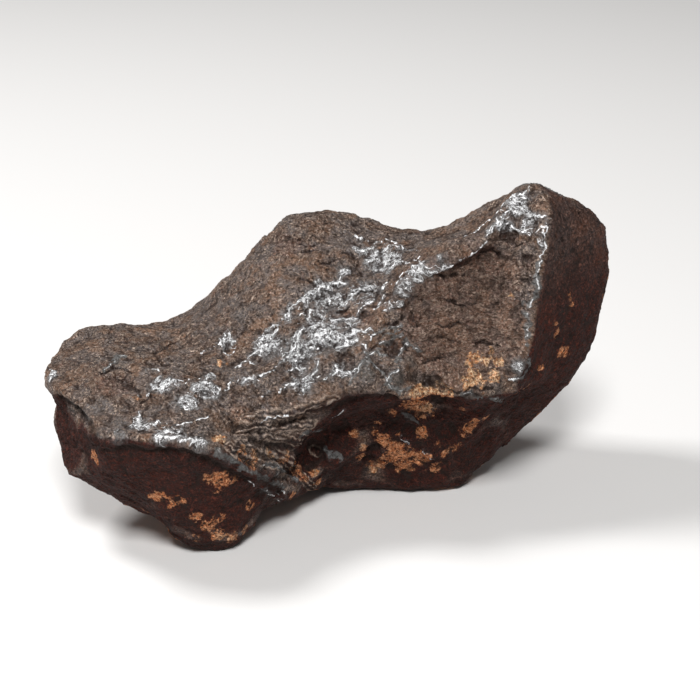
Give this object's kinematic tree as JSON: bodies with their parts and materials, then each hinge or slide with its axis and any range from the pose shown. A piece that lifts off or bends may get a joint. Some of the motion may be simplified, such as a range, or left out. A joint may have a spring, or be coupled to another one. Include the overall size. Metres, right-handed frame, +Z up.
{
  "type": "iron meteorite",
  "caption": "Irregular iron meteorite with a low nose, a saddle between rounded peaks and a hollowed underside, which stands on small flat spots.",
  "frame": {"origin": "centre of the bounding box, at the level of the small flats the meteorite stands on", "axes": "+X along the meteorite from its low nose to its tall end, +Y from its display side to its back, +Z up"},
  "size_m": [0.1214, 0.073, 0.0684],
  "materials": {
    "rusted_iron": "rough dark rind with pale mineral crests and ochre rust stains"
  },
  "bodies": {
    "root": {"meteorite": "rusted_iron"}
  },
  "joints": []
}
